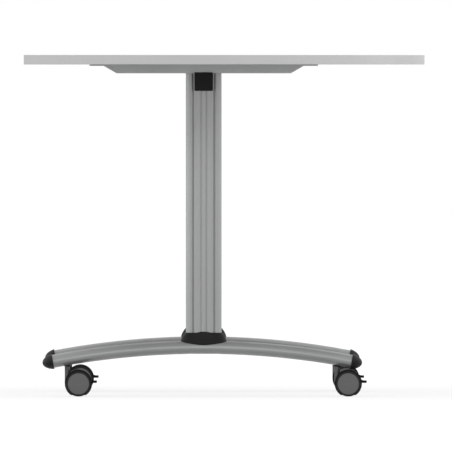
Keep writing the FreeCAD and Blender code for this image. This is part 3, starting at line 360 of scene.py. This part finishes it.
def makeCastMetal():  # saddle between column and foot
    material, tree, shader, place = startMaterial("castSaddle", {"Metallic": castMetal["metal"]})
    grain = useGroup(tree, mouldGrain, {"Vector": place, "Scale": castMetal["pebble"]})
    colour = addBlend(tree, grain["Shade"], grey(castMetal["darker"]), grey(castMetal["tone"]))
    rough, relief = castMetal["rough"], castMetal["relief"]
    endMaterial(tree, shader, colour, grain["Shade"], rough, grain["Height"], relief)
    return material


finishes = {
    "laminate": makeLaminate(),
    "band": makeBand(),
    "bracket": makeSilverCoat("bracketCoat"),
    "foot": makeSilverCoat("footCoat"),
    "column": makeAnodised(),
    "stem": makeZinc("darkZinc"),
    "screw": makeZinc("brightZinc"),
    "black": makePlastic("blackMoulding"),
    "pedal": makePlastic("pedalMoulding"),
    "hub": makePlastic("greyHub"),
    "tyre": makePlastic("tyreRubber"),
    "saddle": makeCastMetal(),
}
print("finishes ready:", len(finishes))


# finish of every CAD piece: the first of these words that is in its name decides

finishByName = (
    ("tabletop_board", "laminate"), ("edge_band", "band"), ("top_bracket", "bracket"),
    ("crossbar_plug", "black"), ("crossbar", "foot"), ("column_screws", "screw"),
    ("bracket_screws", "screw"), ("foot_bolts", "screw"), ("column", "column"), ("saddle", "saddle"),
    ("boot", "black"), ("foot_tube", "foot"), ("end_cap", "black"), ("castor_bush", "black"),
    ("_stem", "stem"), ("_axle", "screw"), ("_housing", "black"), ("_pedal", "pedal"),
    ("_rim", "hub"), ("_tyre", "tyre"),
)


def dress(piece, finish):
    piece.data.materials.clear()
    piece.data.materials.append(finishes[finish])


for nodeName, piece in nodes.items():
    dress(piece, next(finish for part, finish in finishByName if part in nodeName))
print("CAD pieces dressed")


# mesh helpers

sharpFrom = math.radians(30)  # edges that turn more than this stay crisp
weldReach = 0.000001  # vertices of a CAD mesh this close are one
levelReach = 0.0001  # heights this close are one level
cutReach = 0.00001  # vertices this close to a cut lie on it


def meshOf(nodeName):
    shape = bmesh.new()
    shape.from_mesh(nodes[nodeName].data)
    bmesh.ops.remove_doubles(shape, verts=shape.verts, dist=weldReach)
    return shape


def islands(edges):  # groups of vertices that these edges join
    links = {}
    for edge in edges:
        for vert in edge.verts:
            links.setdefault(vert, []).append(edge)
    groups = []
    while links:
        front = [next(iter(links))]
        group = []
        while front:
            vert = front.pop()
            joined = links.pop(vert, None)
            if joined:
                group.append(vert)
                front += [edge.other_vert(vert) for edge in joined]
        groups.append(group)
    return groups


def boxAround(verts):
    low = Vector([min(vert.co[axis] for vert in verts) for axis in range(3)])
    high = Vector([max(vert.co[axis] for vert in verts) for axis in range(3)])
    return low, high


def only(kind, made):  # the vertices, edges or faces in what an operator made
    return [item for item in made["geom"] if isinstance(item, kind)]


def raiseFaces(shape, faces, height):  # pulls a copy of the faces up, with walls round it
    raised = only(bmesh.types.BMVert, bmesh.ops.extrude_face_region(shape, geom=faces))
    bmesh.ops.translate(shape, verts=raised, vec=(0.0, 0.0, height))
    return raised


def addObject(shape, name):
    mesh = bpy.data.meshes.new(name)
    shape.to_mesh(mesh)
    shape.free()
    piece = bpy.data.objects.new(name, mesh)
    bpy.context.scene.collection.objects.link(piece)
    return piece


def finishPiece(shape, name, body, finish):
    bmesh.ops.recalc_face_normals(shape, faces=shape.faces)
    for face in shape.faces:
        face.smooth = True
    for edge in shape.edges:
        edge.smooth = edge.calc_face_angle() < sharpFrom
    piece = addObject(shape, name)
    dress(piece, finish)
    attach(piece, body)
    return piece


# screws and bolts, with the driver recesses that the solids leave out

recessLobes = {"count": 6, "depth": 0.13}


def lobedRim(angle):  # six-lobe recess
    return 1 - recessLobes["depth"] * (1 - math.cos(recessLobes["count"] * angle))


def sixSidedRim(angle):  # hexagon recess
    side = math.pi / 3
    return math.cos(side / 2) / math.cos(angle % side - side / 2)


def addFastener(shape, place, rings, recess):  # rings of (radius, height above the face of the head)
    faceRadius = rings[0][0]
    made = bmesh.ops.create_circle(shape, cap_ends=True, segments=recess["segments"], radius=faceRadius)
    verts = set(made["verts"])
    loop = list({edge for vert in made["verts"] for edge in vert.link_edges})
    face = made["verts"][0].link_faces[0]
    faceWidth = faceRadius - recess["across"] / 2
    bmesh.ops.inset_region(shape, faces=[face], thickness=faceWidth, use_even_offset=True)
    for vert in face.verts:
        vert.co *= recess["rim"](math.atan2(vert.co.y, vert.co.x))
    verts |= set(face.verts)
    recessFloor = raiseFaces(shape, [face], recess["depth"])
    bmesh.ops.delete(shape, geom=[face], context="FACES_ONLY")
    bmesh.ops.scale(shape, verts=recessFloor, vec=(recess["taper"], recess["taper"], 1.0))
    verts |= set(recessFloor)
    for radius, height in rings[1:]:
        grown = bmesh.ops.extrude_edge_only(shape, edges=loop)
        ring = only(bmesh.types.BMVert, grown)
        loop = only(bmesh.types.BMEdge, grown)
        for vert in ring:
            vert.co = vert.co.to_2d().normalized().to_3d() * radius
            vert.co.z = height
        verts |= set(ring)
    bmesh.ops.contextual_create(shape, geom=loop)
    bmesh.ops.translate(shape, verts=list(verts), vec=place)


def makeFasteners(name, nodeName, ringsOf, recess):  # one at each solid of the CAD piece, its head down
    solids = meshOf(nodeName)
    boxes = [boxAround(group) for group in islands(solids.edges)]
    solids.free()
    shape = bmesh.new()
    for low, high in boxes:
        rings = ringsOf((high.x - low.x) / 2, high.z - low.z)
        addFastener(shape, ((low.x + high.x) / 2, (low.y + high.y) / 2, low.z), rings, recess)
    piece = finishPiece(shape, name, "table", "screw")
    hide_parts(nodeName)


woodScrew = {
    "shank": 0.0045,
    "land": 0.0003,
    "point": 0.003,
    "tipShare": 0.25,
    "recess": {"segments": 36, "across": 0.0046, "depth": 0.0019, "taper": 0.82, "rim": lobedRim},
}


def woodScrewRings(head, length):  # countersunk head, shank, blunt point
    shank, land = woodScrew["shank"] / 2, woodScrew["land"]
    rings = [(head, 0.0), (head, land), (shank, land + head - shank)]
    return rings + [(shank, length - woodScrew["point"]), (shank * woodScrew["tipShare"], length)]


socketBolt = {
    "shank": 0.0074,
    "headHeight": 0.005,
    "chamfer": 0.0006,
    "recess": {"segments": 36, "across": 0.0069, "depth": 0.003, "taper": 0.98, "rim": sixSidedRim},
}


def socketBoltRings(head, length):  # chamfered round head, shank, chamfered end
    shank, chamfer, headHeight = socketBolt["shank"] / 2, socketBolt["chamfer"], socketBolt["headHeight"]
    rings = [(head - chamfer, 0.0), (head, chamfer), (head, headHeight)]
    return rings + [(shank, headHeight), (shank, length - chamfer), (shank - chamfer, length)]


makeFasteners("bracketScrews", "bracket_screws", woodScrewRings, woodScrew["recess"])
makeFasteners("footBolts", "foot_bolts", socketBoltRings, socketBolt["recess"])
print("screws and bolts ready")


# columns, with the soft shoulders that the grooves of the extrusion have

section = {
    "corner": 0.019,
    "flatSteps": 40,
    "cornerSteps": 48,
    "groove": {"centre": 0.0222, "width": 0.0145, "depth": 0.0048},  # centre is from the middle of the face
    "flute": {"centre": 0.0058, "width": 0.0075, "depth": 0.0021},
    "shoulder": 1.5,  # 1 is a plain V, more softens its edges
}


def hollow(across, centre, width, depth):  # how deep a groove is at this place across the face
    reach = 2 * abs(across - centre) / width
    return depth * max(0.0, 1 - reach) ** section["shoulder"]


def sectionOutline(halfWide, halfDeep):  # rounded block less its grooves and flutes, front and back
    corner, flat = section["corner"], halfWide - section["corner"]
    acrossHalf = [flat * step / section["flatSteps"] for step in range(section["flatSteps"])]
    turns = [math.pi / 2 * step / section["cornerSteps"] for step in range(section["cornerSteps"] + 1)]
    acrossHalf += [flat + corner * math.sin(turn) for turn in turns]
    front = []
    for across in [-value for value in acrossHalf[:0:-1]] + acrossHalf:
        past = max(0.0, abs(across) - flat)
        deep = halfDeep - corner + math.sqrt(max(0.0, corner ** 2 - past ** 2))
        deep -= hollow(abs(across), **section["groove"]) + hollow(abs(across), **section["flute"])
        front.append((across, -deep))
    return front + [(across, -deep) for across, deep in reversed(front)]


def copyChambers(shape, solid, low, high):  # rims of the chambers in the lower end of the CAD piece
    ends = [edge for edge in solid.edges if max(vert.co.z for vert in edge.verts) < low.z + levelReach]
    rims = [edge for edge in ends if edge.calc_face_angle() > sharpFrom]
    chambers = [group for group in islands(rims) if boxAround(group)[1].x < high.x - levelReach]
    copies = {vert: shape.verts.new(vert.co) for group in chambers for vert in group}
    for edge in rims:
        if edge.verts[0] in copies:
            shape.edges.new([copies[vert] for vert in edge.verts])


def addOutline(shape, corners):
    verts = [shape.verts.new(corner) for corner in corners]
    for first, second in zip(verts, verts[1:] + verts[:1]):
        shape.edges.new((first, second))


def cutAcross(shape, x):
    everything = list(shape.verts) + list(shape.edges) + list(shape.faces)
    plane = {"plane_co": (x, 0.0, 0.0), "plane_no": (1.0, 0.0, 0.0)}
    bmesh.ops.bisect_plane(shape, geom=everything, dist=cutReach, **plane)


def makeColumn(side):  # new outer skin around the chambers of the CAD piece
    solid = meshOf("column_" + side)
    low, high = boxAround(solid.verts)
    middle, half = (low + high) / 2, (high - low) / 2
    seat = min(vert.co.z for vert in solid.verts if vert.co.z > low.z + levelReach)  # floor of the notch
    seatVerts = [vert for vert in solid.verts if abs(vert.co.z - seat) < levelReach]
    notch = max(abs(vert.co.x - middle.x) for vert in seatVerts)  # half the width of the crossbar's notch
    shape = bmesh.new()
    copyChambers(shape, solid, low, high)
    solid.free()
    addOutline(shape, [(middle.x + x, middle.y + y, low.z) for x, y in sectionOutline(half.x, half.y)])
    filled = bmesh.ops.triangle_fill(shape, use_beauty=True, edges=list(shape.edges))
    raiseFaces(shape, only(bmesh.types.BMFace, filled), seat - low.z)
    cutAcross(shape, middle.x - notch)
    cutAcross(shape, middle.x + notch)
    ledges = [face for face in shape.faces if min(vert.co.z for vert in face.verts) > seat - levelReach]
    cheeks = [face for face in ledges if abs(face.calc_center_median().x - middle.x) > notch]
    raiseFaces(shape, cheeks, high.z - seat)
    bmesh.ops.delete(shape, geom=cheeks, context="FACES")
    piece = finishPiece(shape, "column" + side.title(), "table", "column")
    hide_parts("column_" + side)


for side in ("left", "right"):
    makeColumn(side)
print("columns ready")


# studio: white floor and backdrop, soft light, level camera

studio = {
    "floorHalf": 260.0,
    "floorGlow": (0.635, 0.745),  # white that the eye sees under the shading, near the table and far away
    "glowReach": (0.9, 3.0),
    "floorTone": 0.32,  # what shows the shadow
    "floorBounce": 0.40,  # what lights the table from below
    "sky": 0.85,
}


def seenMask(tree):  # what the camera sees, also in metal and through glass
    ray = addNode(tree, "LightPath").outputs
    seen = addMath(tree, "MAXIMUM", ray["Is Camera Ray"], ray["Is Glossy Ray"])
    return addMath(tree, "MAXIMUM", seen, ray["Is Transmission Ray"])


def makeFloor():
    shape = bmesh.new()
    bmesh.ops.create_grid(shape, x_segments=1, y_segments=1, size=studio["floorHalf"])
    floor = addObject(shape, "studioFloor")
    material = bpy.data.materials.new("studioFloor")
    material.use_nodes = True
    tree = material.node_tree
    tree.nodes.clear()
    shade = addNode(tree, "BsdfDiffuse", {"Color": grey(studio["floorTone"])}).outputs[0]
    lit = addNode(tree, "BsdfDiffuse", {"Color": grey(studio["floorBounce"])}).outputs[0]
    place = addNode(tree, "TexCoord").outputs["Object"]
    reach = addNode(tree, "VectorMath", {0: place}, operation="LENGTH").outputs["Value"]
    strength = addRange(tree, reach, studio["glowReach"], studio["floorGlow"])
    glow = addNode(tree, "Emission", {"Color": grey(1.0), "Strength": strength}).outputs[0]
    pale = addNode(tree, "AddShader", {0: glow, 1: shade}).outputs[0]
    both = addNode(tree, "MixShader", {0: seenMask(tree), 1: lit, 2: pale}).outputs[0]
    addNode(tree, "OutputMaterial", {"Surface": both})
    floor.data.materials.append(material)


def makeSky():
    world = bpy.data.worlds.new("studioSky")
    world.use_nodes = True
    bpy.context.scene.world = world
    tree = world.node_tree
    tree.nodes.clear()
    dome = addNode(tree, "Background", {"Color": grey(1.0), "Strength": studio["sky"]}).outputs[0]
    white = addNode(tree, "Background", {"Color": grey(1.0), "Strength": 1.0}).outputs[0]
    both = addNode(tree, "MixShader", {0: seenMask(tree), 1: dome, 2: white}).outputs[0]
    addNode(tree, "OutputWorld", {"Surface": both})


def placeFacing(item, place, target):
    item.location = place
    item.rotation_mode = "QUATERNION"
    item.rotation_quaternion = (Vector(target) - Vector(place)).to_track_quat("-Z", "Y")
    bpy.context.scene.collection.objects.link(item)


lamps = {
    "frontLamp": {"place": (0.0, -5.0, 1.7), "size": (9.0, 3.0), "power": 98.0},
    "leftLamp": {"place": (-4.2, 0.0, 2.0), "size": (7.8, 4.2), "power": 128.0},
    "rightLamp": {"place": (4.2, 0.0, 2.0), "size": (7.8, 4.2), "power": 98.0},
}
lampTarget = (0.0, 0.0, 0.4)


def addLamp(name, place, size, power):
    data = bpy.data.lights.new(name, "AREA")
    data.shape = "RECTANGLE"
    data.size, data.size_y = size
    data.energy = power
    placeFacing(bpy.data.objects.new(name, data), place, lampTarget)


camera = {
    "lens": 1700.0,
    "sensor": 36.0,
    "across": 0.9528,  # width of the picture at the face of the near leg
    "nearLeg": -0.39,
    "middle": (0.0, 0.3595),
    "eye": (-0.047, 0.70),
    "clip": (1.0, 400.0),
}


def makeCamera():
    data = bpy.data.cameras.new("photoCamera")
    data.lens, data.sensor_width = camera["lens"], camera["sensor"]
    data.clip_start, data.clip_end = camera["clip"]
    distance = camera["across"] * camera["lens"] / camera["sensor"]
    eyeX, eyeZ = camera["eye"]
    aimX, aimZ = camera["middle"]
    eye = bpy.data.objects.new("photoCamera", data)
    placeFacing(eye, (eyeX, camera["nearLeg"] - distance, eyeZ), (aimX, camera["nearLeg"], aimZ))
    bpy.context.scene.camera = eye


makeFloor()
makeSky()
for lampName, lamp in lamps.items():
    addLamp(lampName, **lamp)
makeCamera()
bpy.context.scene.view_settings.view_transform = "Standard"
print("studio ready")
